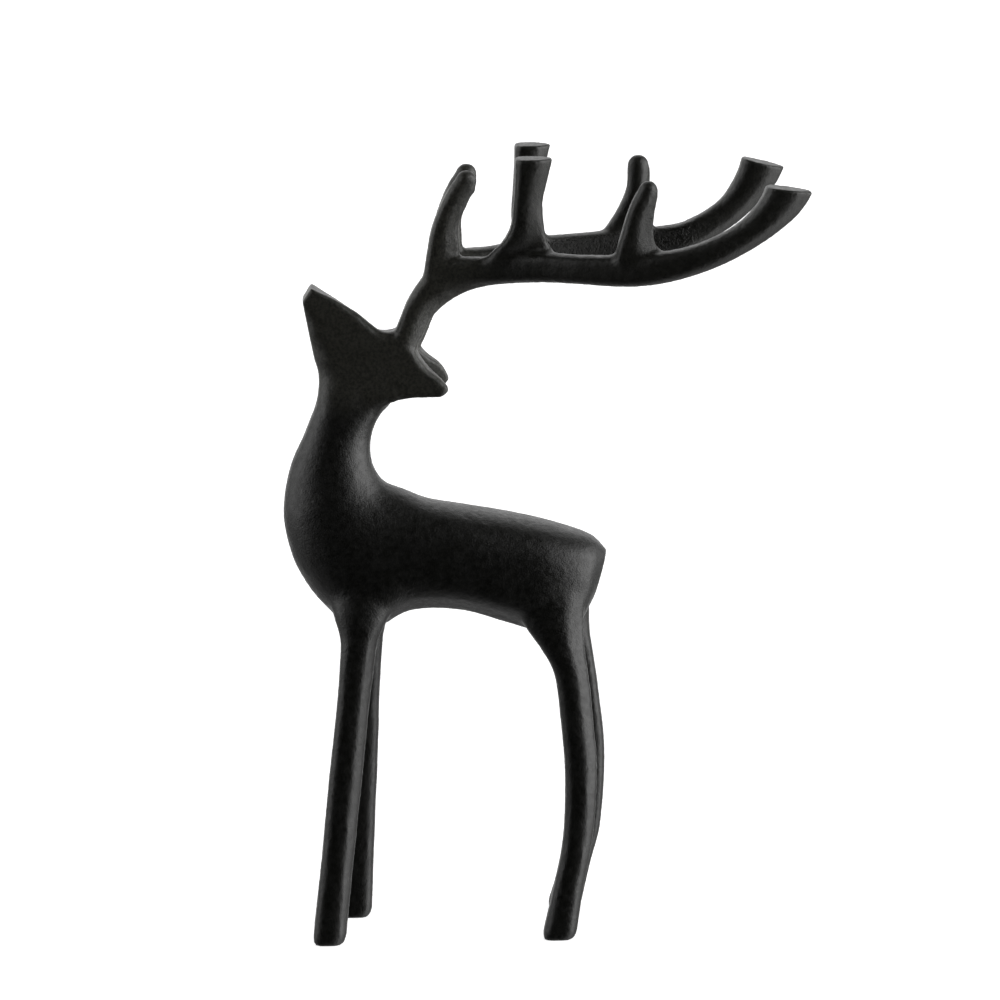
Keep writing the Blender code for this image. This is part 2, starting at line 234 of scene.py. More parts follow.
def to_object(name: str, surface: Surface) -> bpy.types.Object:
    """Put a surface into a new object at the origin.

    Args:
        name: the object's name.
        surface: points in figure units, and triangles.

    Returns:
        The object, linked to the scene.
    """
    points, faces = surface
    mesh = bpy.data.meshes.new(name)
    mesh.from_pydata((points * UNIT).tolist(), [], faces.tolist())
    mesh.update()
    made = bpy.data.objects.new(name, mesh)
    bpy.context.scene.collection.objects.link(made)
    return made


def read_rows(items: bpy.types.bpy_prop_collection, key: str, width: int, kind: type) -> np.ndarray:
    """One property of all of a mesh's points or edges.

    Args:
        items: the mesh's points, normals or edges.
        key: the property's name.
        width: how many numbers it has for each item.
        kind: what kind of number they are.

    Returns:
        One item a row.
    """
    flat = np.empty(len(items) * width, dtype=kind)
    items.foreach_get(key, flat)
    return flat.reshape(-1, width)


def read_points(mesh: bpy.types.Mesh) -> np.ndarray:
    """The mesh's points in figure units, one a row."""
    return read_rows(mesh.vertices, "co", 3, np.float32).astype(float) / UNIT


def read_normals(mesh: bpy.types.Mesh) -> np.ndarray:
    """The mesh's point normals, one a row."""
    return read_rows(mesh.vertex_normals, "vector", 3, np.float32).astype(float)


def read_edges(mesh: bpy.types.Mesh) -> np.ndarray:
    """The point indices of the mesh's edges, two a row."""
    return read_rows(mesh.edges, "vertices", 2, np.int32)


def write_points(mesh: bpy.types.Mesh, points: np.ndarray) -> None:
    """Move the mesh's points to new places, given in figure units."""
    mesh.vertices.foreach_set("co", (points * UNIT).astype(np.float32).ravel())
    mesh.update()


def apply_modifiers(target: bpy.types.Object) -> None:
    """Turn the object's evaluated mesh into its own mesh, and drop its modifiers.

    Args:
        target: the object.
    """
    graph = bpy.context.evaluated_depsgraph_get()
    graph.update()
    baked = bpy.data.meshes.new_from_object(target.evaluated_get(graph))
    spare = target.data
    target.modifiers.clear()
    target.data = baked
    bpy.data.meshes.remove(spare)


def remeshed(target: bpy.types.Object, grain: float, passes: int, regrow: float) -> None:
    """Give the object one even skin, softened by smoothing.

    Args:
        target: the object, whose bodies may cross.
        grain: size of the voxels, in figure units.
        passes: how many times each point moves towards the mean of its neighbours.
        regrow: how far the skin grows afterwards, to make up for the smoothing.
    """
    skin = target.modifiers.new("skin", "REMESH")
    skin.mode = "VOXEL"
    skin.voxel_size = grain * UNIT
    soften = target.modifiers.new("soften", "SMOOTH")
    soften.factor = SMOOTHING_STEP
    soften.iterations = passes
    apply_modifiers(target)
    points = read_points(target.data)
    write_points(target.data, points + regrow * read_normals(target.data))


def combined(target: bpy.types.Object, surface: Surface, cut: Cut) -> None:
    """Add a closed body to the object, or take it away.

    Args:
        target: the object.
        surface: the body, in figure units.
        cut: what the body does.
    """
    tool = to_object("tool", surface)
    step = target.modifiers.new("cut", "BOOLEAN")
    step.operation = cut.value
    step.object = tool
    step.solver = "EXACT"
    apply_modifiers(target)
    spare = tool.data
    bpy.data.objects.remove(tool, do_unlink=True)
    bpy.data.meshes.remove(spare)


def relaxed(points: np.ndarray, edges: np.ndarray, weight: np.ndarray, passes: int) -> np.ndarray:
    """Points smoothed where a weight asks for it.

    Formula: in each pass a point moves by its weight towards the mean of the points it shares an edge
    with.

    Args:
        points: places of the points.
        edges: the two point indices of each edge.
        weight: 0 to 1 for each point.
        passes: how often this is done.

    Returns:
        The smoothed places.
    """
    count = len(points)
    ends = np.concatenate([edges, edges[:, ::-1]])
    shared = np.bincount(ends[:, 0], minlength=count)[:, None]
    for _ in range(passes):
        total = [np.bincount(ends[:, 0], points[ends[:, 1], axis], count) for axis in range(3)]
        points = points + weight[:, None] * (np.stack(total, axis=1) / shared - points)
    return points


def waves(points: np.ndarray, wavelength: float, count: int, seed: int) -> np.ndarray:
    """A smooth random field with a mean of 0 and a spread of about 1.

    Formula: the sum of cosines of plane waves in seeded random directions and phases, with lengths
    spread over WAVE_SPAN of the wavelength, divided by the square root of half their number.

    Args:
        points: where to work it out, in figure units.
        wavelength: usual distance from crest to crest, in figure units.
        count: how many waves are added.
        seed: which field of this kind it is.

    Returns:
        One value a point.
    """
    dice = np.random.default_rng(seed)
    heading = dice.normal(size=(3, count))
    heading /= np.linalg.norm(heading, axis=0)
    length = wavelength * dice.uniform(*WAVE_SPAN, count)
    phase = dice.uniform(0.0, 2 * math.pi, count)
    return np.cos(points @ (heading * 2 * math.pi / length) + phase).sum(axis=1) / math.sqrt(count / 2)


def ramp(value: np.ndarray, low: float, high: float) -> np.ndarray:
    """A smooth step from 0 at low to 1 at high: 3 t^2 - 2 t^3."""
    t = np.clip((value - low) / (high - low), 0.0, 1.0)
    return t * t * (3 - 2 * t)


# Every station: edge a x, z, edge b x, z, lateral place, half width, squareness, bevel
@dataclass(frozen=True)
class Trunk:
    """Body and neck from rump to head. Edge a is the belly, chest and throat, edge b the back."""

    stations: tuple[Station, ...] = (
        (16.7, 128.0, 22.2, 146.2, 0.0, 6.4, 2.2, 0.0),
        (10.0, 118.0, 16.0, 152.0, 0.0, 16.0, 2.5, -0.3),
        (-2.0, 115.9, 2.0, 156.9, 0.0, 21.2, 2.7, -0.4),
        (-17.0, 120.2, -14.0, 161.0, 0.0, 21.7, 2.7, -0.45),
        (-34.0, 125.2, -31.0, 164.3, 0.0, 21.5, 2.6, -0.45),
        (-53.0, 125.4, -45.0, 167.0, 0.0, 21.0, 2.5, -0.45),
        (-71.0, 117.0, -53.6, 170.8, 0.0, 20.5, 2.4, -0.4),
        (-86.2, 128.2, -61.2, 173.9, 0.0, 19.8, 2.2, -0.2),
        (-95.4, 142.0, -64.4, 177.7, 0.0, 18.4, 2.1, 0.0),
        (-99.6, 157.0, -66.2, 182.2, 0.0, 16.6, 2.1, 0.0),
        (-99.9, 168.5, -66.7, 186.8, 0.0, 14.4, 2.1, 0.0),
        (-96.6, 182.4, -66.4, 191.2, 0.0, 12.4, 2.1, 0.0),
        (-91.8, 193.0, -65.2, 195.6, 0.0, 11.0, 2.3, 0.0),
        (-88.5, 201.0, -63.0, 200.0, 0.0, 10.2, 2.6, 0.0),
        (-86.2, 208.5, -59.0, 204.4, 0.0, 9.6, 2.8, 0.0),
        (-85.8, 216.0, -55.0, 209.5, 0.0, 8.8, 2.8, 0.0),
    )

    def surfaces(self) -> list[Surface]:
        """The trunk's closed loft."""
        return [loft(spline(self.stations))]


@dataclass(frozen=True)
class Leg:
    """A leg from body to sole. Edge a is its front, edge b its rear.

    Set_back is how far it stands behind the stations at its top, knee and sole, and top and knee are
    the heights of these places. Spread is how far its sole is moved to +Y, bevel_share is what it keeps
    of the bevels, and slimmer is how far its front edge is drawn in at the top and above. A sole ring is
    a height, and how far the front and the rear edge are drawn in there.
    """

    stations: tuple[Station, ...]
    side: Side
    set_back: tuple[float, float, float] = (0.0, 0.0, 0.0)
    spread: float = 0.0
    bevel_share: float = 1.0
    slimmer: float = 0.0
    top: float = 110.0
    knee: float = 66.0
    sole_rings: tuple[Station, ...] = (
        (1.6, 0.0, 0.3),
        (0.4, 0.1, 1.1),
        (-1.0, 0.4, 2.6),
        (-3.0, 1.0, 4.0),
    )

    def rows(self) -> np.ndarray:
        """Work out the leg's sections, on its side and with its own stance.

        Returns:
            Rows set back, spread and made slimmer, and closed in to the sole's edge.
        """
        rows = spline(self.stations)
        rows[:, 4] *= self.side.value
        heights = (rows[:, 1] + rows[:, 3]) / 2
        top, knee, sole = self.set_back
        rows[:, [0, 2]] += np.interp(heights, (0.0, self.knee, self.top), (sole, knee, top))[:, None]
        rows[:, 4] += self.spread * np.clip(1.0 - rows[:, 1] / self.top, 0.0, 1.0)
        rows[:, 7] *= self.bevel_share
        rows[:, 0] += self.slimmer * ramp(heights, self.knee, self.top)
        height, front, rear = np.array(self.sole_rings).T
        closing = np.repeat(rows[-1:], len(height), axis=0)
        closing[:, 0] += front
        closing[:, 2] -= rear
        closing[:, 5] -= (front + rear) / 2
        closing[:, [1, 3]] = height[:, None]
        return np.vstack([rows, closing])

    def surfaces(self) -> list[Surface]:
        """The leg's closed loft."""
        return [loft(self.rows())]


FRONT_LEG = (
    (-80.0, 150.0, -56.0, 150.0, 8.0, 7.0, 2.0, 0.0),
    (-82.0, 138.0, -56.0, 138.0, 10.4, 8.4, 2.0, 0.0),
    (-82.6, 127.0, -60.2, 127.0, 12.9, 7.8, 2.2, 0.3),
    (-79.8, 117.0, -65.2, 117.0, 14.8, 6.6, 2.6, 0.5),
    (-80.2, 107.0, -67.0, 107.0, 15.9, 5.9, 2.9, 0.6),
    (-82.1, 88.0, -69.8, 88.0, 17.0, 5.5, 3.1, 0.6),
    (-85.0, 66.0, -72.3, 66.0, 17.9, 5.5, 3.1, 0.6),
    (-87.7, 42.0, -75.4, 42.0, 18.9, 5.6, 3.1, 0.6),
    (-90.7, 18.0, -78.2, 18.0, 19.8, 5.8, 3.1, 0.5),
    (-92.5, 3.0, -80.0, 3.0, 20.3, 5.9, 3.1, 0.4),
)
HIND_LEG = (
    (-14.0, 150.0, 4.0, 150.0, 7.0, 8.0, 2.0, 0.0),
    (-16.0, 137.0, 12.6, 138.0, 10.6, 9.4, 2.0, 0.4),
    (-10.8, 122.0, 12.5, 124.0, 13.6, 8.0, 2.3, 0.6),
    (-4.1, 112.0, 12.4, 113.0, 15.4, 7.0, 2.6, 0.7),
    (0.6, 103.0, 13.5, 103.0, 16.6, 6.2, 2.9, 0.7),
    (2.5, 90.0, 14.9, 90.0, 17.4, 5.7, 3.0, 0.7),
    (4.2, 66.0, 16.4, 66.0, 18.4, 5.5, 3.1, 0.7),
    (3.2, 40.0, 14.6, 40.0, 19.4, 5.5, 3.1, 0.6),
    (-1.3, 18.0, 10.3, 18.0, 20.2, 5.6, 3.1, 0.5),
    (-5.0, 3.0, 7.9, 3.0, 20.6, 5.7, 3.1, 0.4),
)


NEAR_THIRD_TINE = (
    (26.0, 256.0, 40.0, 256.0, 34.4, 4.2, 3.4, 0.9),
    (25.2, 262.0, 42.6, 263.4, 34.7, 5.2, 4.6, 0.9),
    (26.0, 267.0, 40.0, 267.6, 35.0, 5.6, 5.0, 0.95),
    (27.9, 273.0, 39.2, 273.2, 35.2, 5.5, 5.2, 1.0),
    (30.0, 280.0, 40.0, 280.0, 35.6, 5.0, 4.4, 0.9),
    (32.8, 286.4, 41.2, 285.4, 35.8, 4.1, 2.6, 0.7),
    (34.2, 288.6, 41.3, 287.4, 35.8, 3.8, 2.2, 0.6),
)
FAR_THIRD_TINE = (
    (26.0, 256.0, 40.0, 256.0, 34.4, 4.2, 3.4, 0.9),
    (22.6, 262.0, 42.6, 263.4, 34.7, 4.7, 4.6, 0.9),
    (25.4, 267.0, 41.0, 267.6, 35.0, 4.9, 3.6, 0.9),
    (29.0, 273.0, 40.0, 273.2, 35.2, 4.8, 3.6, 0.9),
    (32.0, 280.0, 40.6, 280.0, 35.6, 4.5, 3.0, 0.8),
    (32.4, 286.6, 41.0, 286.0, 35.8, 4.2, 2.4, 0.7),
    (32.4, 289.2, 40.7, 288.2, 35.8, 4.0, 2.2, 0.6),
)

NEAR_SECOND_TINE = (
    (-13.0, 254.0, -1.0, 254.0, 17.4, 4.2, 4.4, 0.9),
    (-21.6, 261.2, 3.4, 261.4, 16.8, 4.0, 3.4, 0.85),
    (-16.0, 267.4, 0.6, 267.6, 18.8, 5.1, 4.8, 0.85),
    (-12.6, 274.0, -0.6, 274.4, 20.2, 5.8, 5.6, 0.85),
    (-11.8, 282.0, -1.0, 282.0, 21.5, 6.0, 5.2, 0.85),
    (-11.1, 291.0, 1.0, 291.0, 22.3, 6.7, 4.4, 0.8),
    (-10.9, 299.6, 3.2, 299.6, 22.7, 7.7, 3.8, 0.7),
    (-10.8, 303.0, 4.1, 303.0, 22.9, 8.0, 3.8, 0.7),
)
FAR_SECOND_TINE = (
    (-13.0, 254.0, -1.0, 254.0, 17.4, 4.2, 3.4, 0.9),
    (-12.8, 261.0, 0.6, 261.4, 18.6, 5.0, 3.6, 1.0),
    (-12.6, 267.4, -0.6, 267.6, 19.4, 5.6, 3.8, 1.0),
    *NEAR_SECOND_TINE[3:],
)


@dataclass(frozen=True)
class Antler:
    """A beam with three tines. Edge a is the beam's underside and a tine's front, edge b the other.

    Shift is how far this antler is moved back and up against the stations, at places x along it.
    """

    side: Side
    second_tine: tuple[Station, ...]
    third_tine: tuple[Station, ...]
    shift: tuple[Station, ...] = ((-50.0, 0.0, 0.0), (92.0, 0.0, 0.0))
    beam: tuple[Station, ...] = (
        (-51.0, 221.0, -58.0, 229.4, 6.1, 4.8, 5.0, -0.9),
        (-46.8, 229.4, -55.0, 236.6, 6.5, 4.8, 5.0, -0.95),
        (-43.3, 237.0, -51.7, 244.4, 7.0, 4.9, 5.0, -1.0),
        (-36.6, 243.6, -46.6, 252.2, 7.8, 5.1, 5.0, -0.9),
        (-27.2, 248.5, -37.0, 260.0, 9.6, 5.4, 4.5, -0.6),
        (-16.0, 251.0, -20.0, 261.2, 14.0, 5.6, 4.0, -0.4),
        (-1.0, 252.2, -3.0, 263.2, 20.2, 5.8, 4.0, -0.3),
        (13.0, 252.2, 12.6, 263.0, 27.4, 5.6, 4.0, -0.3),
        (30.0, 251.7, 30.0, 263.6, 34.0, 5.6, 4.0, -0.3),
        (46.0, 254.2, 44.4, 265.2, 38.4, 5.5, 4.2, -0.4),
        (62.0, 259.2, 57.0, 268.6, 40.8, 5.5, 3.8, -0.5),
        (77.2, 267.0, 69.2, 274.8, 42.0, 5.7, 3.4, -0.65),
        (90.8, 277.2, 77.3, 282.8, 42.6, 6.3, 3.4, -0.75),
        (97.7, 287.0, 81.2, 290.6, 43.0, 7.4, 3.4, -0.75),
        (98.8, 292.6, 81.6, 295.4, 43.0, 8.0, 3.4, -0.75),
    )
    first_tine: tuple[Station, ...] = (
        (-44.5, 247.0, -34.0, 247.0, 8.6, 4.2, 4.4, 0.6),
        (-45.4, 254.0, -33.0, 254.0, 9.0, 4.9, 5.0, 0.7),
        (-44.1, 262.6, -31.9, 264.6, 9.2, 5.4, 5.6, 0.75),
        (-42.4, 271.0, -31.9, 273.0, 9.3, 5.4, 5.6, 0.75),
        (-39.0, 280.0, -28.2, 281.6, 9.5, 5.2, 4.8, 0.85),
        (-35.2, 287.2, -25.4, 286.8, 9.6, 4.5, 2.8, 0.9),
        (-32.9, 290.0, -24.8, 289.2, 9.6, 3.8, 2.2, 0.9),
    )

    def placed(self, stations: tuple[Station, ...]) -> np.ndarray:
        """Put stations on this antler's side, moved by its shift.

        Args:
            stations: of the beam or a tine.

        Returns:
            Rows on a smooth curve through them, moved back and up by the shift at their x.
        """
        rows = spline(stations)
        rows[:, 4] *= self.side.value
        place = (rows[:, 0] + rows[:, 2]) / 2
        places, back, up = np.array(self.shift).T
        rows[:, [0, 2]] += np.interp(place, places, back)[:, None]
        rows[:, [1, 3]] += np.interp(place, places, up)[:, None]
        return rows

    def surfaces(self) -> list[Surface]:
        """Make the beam and its three tines.

        Returns:
            Four closed lofts that cross each other.
        """
        return [
            loft(self.placed(self.beam)),
            loft(domed(self.placed(self.first_tine))),
            loft(self.placed(self.second_tine)),
            loft(domed(self.placed(self.third_tine))),
        ]


@dataclass(frozen=True)
class Head:
    """A flat-sided head, seen from its side: x, z on the near side, z on the far side, corner, edge.

    Corner is the radius of the outline's corner, at most corner_share of the way to the next one, and
    edge that of the edge between side and rim.
    """

    outline: tuple[Station, ...] = (
        (-91.1, 244.9, 244.6, 0.5, 0.6),
        (-87.7, 250.0, 249.9, 0.4, 0.5),
        (-79.0, 245.6, 244.0, 3.0, 1.6),
        (-70.4, 240.2, 237.9, 2.0, 2.6),
        (-62.5, 233.2, 231.2, 2.5, 3.0),
        (-58.0, 232.6, 231.6, 2.0, 2.8),
        (-54.8, 232.0, 232.8, 1.6, 2.6),
        (-50.0, 226.3, 229.2, 2.0, 2.0),
        (-45.4, 219.0, 222.8, 2.5, 2.0),
        (-38.8, 213.8, 217.6, 2.5, 1.8),
        (-36.2, 210.6, 211.8, 1.8, 1.8),
        (-39.6, 207.8, 207.6, 1.5, 1.4),
        (-50.0, 207.8, 207.8, 2.0, 1.6),
        (-56.0, 206.9, 206.9, 2.0, 2.4),
        (-60.4, 204.8, 204.8, 3.0, 3.6),
        (-65.0, 200.8, 200.8, 4.0, 5.0),
        (-76.0, 203.0, 203.0, 4.0, 7.0),
        (-83.0, 208.0, 208.0, 3.0, 7.5),
        (-85.9, 216.0, 216.0, 3.0, 8.2),
        (-87.4, 223.0, 223.0, 4.0, 7.4),
        (-89.2, 234.0, 234.0, 3.0, 4.2),
    )
    edge_roundness: float = 1.2
    edge_depth: float = 0.95
    nose_half: float = 8.2
    back_half: float = 11.8
    nose_x: float = -88.0
    back_x: float = -38.0
    corner_share: float = 0.45
    corner_points: int = 7
    edge_rings: int = 7

    def rim(self, share: float, height: int) -> tuple[np.ndarray, np.ndarray]:
        """The outline with its corners rounded.

        Formula: a corner with tangent points a and b at its radius from the corner c is the curve
        (1 - t)^2 a + 2 t (1 - t) c + t^2 b, t from 0 to 1.

        Args:
            share: size of the head against the whole one, about its middle.
            height: which of the outline's columns holds z.

        Returns:
            Points x, z round the outline, and the edge radius at each.
        """
        table = np.array(self.outline)
        corner = table[:, [0, height]]
        middle = corner.mean(axis=0)
        corner = middle + share * (corner - middle)
        back = np.roll(corner, 1, axis=0) - corner
        ahead = np.roll(corner, -1, axis=0) - corner
        behind, before = (np.linalg.norm(way, axis=1, keepdims=True) for way in (back, ahead))
        radius = np.minimum(table[:, 3:4], self.corner_share * np.minimum(behind, before))
        a = corner + radius * back / behind
        b = corner + radius * ahead / before
        t = np.linspace(0.0, 1.0, self.corner_points)[None, :, None]
        curve = (1 - t) ** 2 * a[:, None] + 2 * t * (1 - t) * corner[:, None] + t**2 * b[:, None]
        return curve.reshape(-1, 2), np.repeat(table[:, 4], self.corner_points)

    def surface(self, share: float = 1.0) -> Surface:
        """The head as a rounded edge profile carried round the outline.

        Formula: at angle u from 0 to 90 degrees, a ring lies edge * (1 - sin(u)^k) inside the outline
        and depth * edge * (1 - cos(u)^k) inside the side's plane, where k is 1 for a round edge and 2
        for a straight bevel. The side's half width falls from ears to nose.

        Args:
            share: size of the head against the whole one.

        Returns:
            Points in figure units, and triangles.
        """
        k = self.edge_roundness
        ends_x, ends_half = (self.nose_x, self.back_x), (self.nose_half, self.back_half)
        angle = np.linspace(0.0, math.pi / 2, self.edge_rings)[:, None]
        flanks = []
        for sign, height in ((-1.0, 1), (1.0, 2)):
            rim, edge = self.rim(share, height)
            along = np.roll(rim, -1, axis=0) - np.roll(rim, 1, axis=0)
            outward = np.stack([-along[:, 1], along[:, 0]], axis=1)
            outward /= np.linalg.norm(outward, axis=1, keepdims=True)
            outward *= np.sign(np.sum(outward * (rim - rim.mean(axis=0))))
            half = share * np.interp(rim[:, 0], ends_x, ends_half)
            profile = rim[None] - outward[None] * (edge * (1 - np.sin(angle) ** k))[:, :, None]
            depth = half - self.edge_depth * edge * (1 - np.abs(np.cos(angle)) ** k)
            flanks.append(np.stack([profile[..., 0], sign * depth, profile[..., 1]], axis=2))
        near, far = flanks
        grid = np.concatenate([near, far[::-1]])
        ends = np.stack([grid[0].mean(axis=0), grid[-1].mean(axis=0)])
        return np.vstack([grid.reshape(-1, 3), ends]), grid_faces(len(grid), grid.shape[1])


@dataclass(frozen=True)
class Block:
    """A box body, turned about the lateral axis."""

    centre: Station
    size: Station
    tilt: float = 0.0

    def surface(self) -> Surface:
        """Make the box out of two rings of four corners.

        Returns:
            Points in figure units, and triangles.
        """
        corner = np.array([(-1, -1), (1, -1), (1, 1), (-1, 1)]) / 2
        low, high = (np.column_stack([corner, np.full(4, end)]) for end in (-0.5, 0.5))
        points = np.vstack([low, high]) * np.array(self.size)
        points = np.vstack([points, points[:4].mean(axis=0), points[4:].mean(axis=0)])
        angle = math.radians(self.tilt)
        x = points[:, 0] * math.cos(angle) + points[:, 2] * math.sin(angle)
        z = points[:, 2] * math.cos(angle) - points[:, 0] * math.sin(angle)
        return np.column_stack([x, points[:, 1], z]) + np.array(self.centre), grid_faces(2, 4)


@dataclass(frozen=True)
class EarGroove:
    """The wedge between the ears: its deepest point and its mouth x, z, and half its width at each.

    Reach_down and reach_up are how far it goes to either side of the line from one to the other.
    """

    root: Station = (-53.0, 222.0)
    mouth: Station = (-30.0, 205.0)
    root_half: float = 0.8
    mouth_half: float = 12.8
    reach_down: float = 12.0
    reach_up: float = 30.0

    def surface(self) -> Surface:
        """Make the wedge out of a ring of four corners at its root and one at its mouth.

        Returns:
            Points in figure units, and triangles.
        """
        root, mouth = np.array(self.root), np.array(self.mouth)
        along = (mouth - root) / np.linalg.norm(mouth - root)
        across = np.array([-along[1], along[0]])
        lift = np.array([-self.reach_down, -self.reach_down, self.reach_up, self.reach_up])[:, None]
        rings = []
        for end, half in ((root, self.root_half), (mouth, self.mouth_half)):
            side = np.array([-1, 1, 1, -1]) * half
            place = end + lift * across
            rings.append(np.column_stack([place[:, 0], side, place[:, 1]]))
        ends = np.stack([ring.mean(axis=0) for ring in rings])
        return np.vstack([*rings, ends]), grid_faces(2, 4)


@dataclass(frozen=True)
class Zone:
    """A box in which something is done, fading out over a margin: lowest and highest x, |y|, z."""

    low: Station
    high: Station
    margin: float

    def weight(self, points: np.ndarray) -> np.ndarray:
        """How much a point belongs to the zone.

        Args:
            points: in figure units.

        Returns:
            1 inside the box, falling to 0 over the margin outside it, for each point.
        """
        place = points * (1.0, 0.0, 1.0) + np.abs(points) * (0.0, 1.0, 0.0)
        outside = np.maximum(np.array(self.low) - place, place - np.array(self.high)).max(axis=1)
        return 1.0 - ramp(outside, 0.0, self.margin)


@dataclass(frozen=True)
class Mark:
    """A small mark of the casting: place, radius, and height over the skin, less than 0 for a dent."""

    place: Station
    radius: float
    height: float


@dataclass(frozen=True)
class Unevenness:
    """A random field on the skin: height and usual wavelength in figure units, waves added, and seed."""

    height: float
    length: float
    count: int
    seed: int

    def field(self, points: np.ndarray) -> np.ndarray:
        """The field at each point, with a spread of about 1."""
        return waves(points, self.length, self.count, self.seed)


@dataclass(frozen=True)
class CastSkin:
    """The skin of the casting: how soft its forms are, how fine its mesh is, and its unevenness.

    Lengths are in figure units, and a pair of them is where a soft step starts and ends. The beams'
    inner faces came rough from the mould, below the line through the beam tops. Core_share is the size
    of the head within the soft forms against the crisp one. The paint is painted paler, as painted light
    falling from the front and above, over the height upper_from, by back_painted_light, and in front of
    the distance front_from by front_painted_light. Each melted zone is smoothed by its number of passes.
    """

    fillet_grain: float = 1.0
    fillet_passes: int = 8
    shrinkage: float = 0.02
    fine_grain: float = 0.75
    fine_passes: int = 2
    fine_shrinkage: float = 0.03
    triangles: int = 190_000
    swell: Unevenness = Unevenness(height=0.05, length=22.0, count=24, seed=11)
    ripple: Unevenness = Unevenness(height=0.015, length=5.0, count=48, seed=12)
    grain: Unevenness = Unevenness(height=0.026, length=2.0, count=64, seed=13)
    pits: Unevenness = Unevenness(height=0.05, length=2.0, count=64, seed=14)
    pit_span: tuple[float, float] = (0.3, 1.6)
    beam_top: tuple[Station, ...] = ((-10.0, 263.0), (45.0, 265.0), (78.0, 282.0), (92.0, 296.0))
    face_turn: tuple[float, float] = (0.35, 0.75)
    face_start: tuple[float, float] = (-14.0, -4.0)
    face_end: tuple[float, float] = (52.0, 66.0)
    face_foot: tuple[float, float] = (244.0, 250.0)
    face_below_top: tuple[float, float] = (0.0, 2.0)
    core_share: float = 0.9
    # Painted light: the paint is painted paler over these heights, and more at the front, for light from
    # the front and above
    upper_from: tuple[float, float] = (198.0, 212.0)
    front_from: tuple[float, float] = (16.0, 30.0)
    front_painted_light: float = 0.62
    back_painted_light: float = 0.16
    marks: tuple[Mark, ...] = (
        Mark((-25.0, -9.5, 284.8), 1.6, 0.8),
        Mark((-29.4, -9.4, 275.1), 1.5, 0.8),
        Mark((-69.9, -9.0, 239.6), 0.8, 0.35),
        Mark((-47.3, -7.0, 228.2), 1.1, -1.2),
    )
    melted: tuple[tuple[Zone, int], ...] = (
        (Zone((-94.0, 0.0, 204.0), (-79.0, 14.0, 217.0), 6.0), 60),
        (Zone((-79.0, 0.0, 203.0), (-64.0, 14.0, 209.0), 4.0), 30),
        (Zone((-60.0, 7.0, 228.0), (-50.0, 14.0, 235.0), 3.0), 12),
        (Zone((-24.0, 11.0, 257.0), (-15.0, 26.0, 263.5), 3.0), 20),
        (Zone((2.0, 14.0, 258.0), (8.0, 26.0, 264.0), 3.0), 12),
        (Zone((-49.0, 3.0, 246.0), (-41.0, 15.0, 257.0), 3.0), 20),
        (Zone((-92.0, 2.0, 119.0), (-79.0, 26.0, 138.0), 6.0), 60),
    )

    def inner_face(self, points: np.ndarray, normals: np.ndarray) -> np.ndarray:
        """Where the beams' inner faces are, which came rough from the mould.

        Formula: soft steps multiplied: how far the normal turns inward, x from the face's start to its
        end, z over its foot, and how far the point is below the line through the beam tops.

        Args:
            points: in figure units.
            normals: of the same points.

        Returns:
            0 on the smooth skin to 1 on the rough faces.
        """
        inward = -np.sign(points[:, 1]) * normals[:, 1]
        places, tops = np.array(self.beam_top).T
        below_top = ramp(np.interp(points[:, 0], places, tops) - points[:, 2], *self.face_below_top)
        end_from, end_to = self.face_end
        reach = ramp(points[:, 0], *self.face_start) * ramp(-points[:, 0], -end_to, -end_from)
        on_beam = ramp(points[:, 2], *self.face_foot) * reach * below_top
        return ramp(inward, *self.face_turn) * on_beam

    def painted_light(self, points: np.ndarray, normals: np.ndarray) -> np.ndarray:
        """How pale the paint is painted, as painted light falling from the front and above.

        Args:
            points: in figure units.
            normals: of the same points.

        Returns:
            0 on the body and the rough faces, and most on the head and the first tines.
        """
        # Painted light: paler over the upper parts and most at the front, where light from the front and
        # above falls
        front = ramp(-points[:, 0], *self.front_from)
        upper = self.back_painted_light + (self.front_painted_light - self.back_painted_light) * front
        return ramp(points[:, 2], *self.upper_from) * upper * (1.0 - self.inner_face(points, normals))

    def relief(self, points: np.ndarray, normals: np.ndarray) -> np.ndarray:
        """How far the skin stands over its smooth form.

        Formula: a long swell, a ripple and a grain, each a field of waves, less the pits, which are the
        high parts of one more field on the beams' inner faces, and each mark as
        height * exp(-(distance / radius)^2).

        Args:
            points: in figure units.
            normals: of the same points.

        Returns:
            One height a point, in figure units.
        """
        height = np.zeros(len(points))
        for layer in (self.swell, self.ripple, self.grain):
            height += layer.height * layer.field(points)
        pits = ramp(self.pits.field(points), *self.pit_span)
        height -= self.pits.height * pits * self.inner_face(points, normals)
        for mark in self.marks:
            distance = np.linalg.norm(points - np.array(mark.place), axis=1)
            height += mark.height * np.exp(-((distance / mark.radius) ** 2))
        return height


@dataclass(frozen=True)
class Wiring:
    """A node tree that is being filled."""

    tree: bpy.types.NodeTree

    def add(self, kind: str, inputs: dict[str | int, object], **options: object) -> bpy.types.Node:
        """Add a node.

        Args:
            kind: its type.
            inputs: for each input, the socket it is linked to or the value it is set to.
            options: the node's own settings, made before its inputs.

        Returns:
            The node.
        """
        node = self.tree.nodes.new(kind)
        for name, value in options.items():
            setattr(node, name, value)
        self.feed(node, inputs)
        return node

    def feed(self, node: bpy.types.Node, inputs: dict[str | int, object]) -> None:
        """Link a node's inputs to sockets, or set them to values.

        Args:
            node: the node.
            inputs: a socket or a value for each input.
        """
        for name, value in inputs.items():
            if isinstance(value, Socket):
                self.tree.links.new(value, node.inputs[name])
            else:
                node.inputs[name].default_value = value

    def mapped(self, value: Socket, span: Station, ends: Station, **options: object) -> Socket:
        """Stretch a value's span to new ends, and hold the value there outside it.

        Args:
            value: what is stretched.
            span: the value's lowest and highest.
            ends: what these two become.
            options: the node's own settings.

        Returns:
            The stretched value.
        """
        inputs = {
            "Value": value,
            "From Min": span[0],
            "From Max": span[1],
            "To Min": ends[0],
            "To Max": ends[1],
        }
        return self.add("ShaderNodeMapRange", inputs, **options).outputs["Result"]


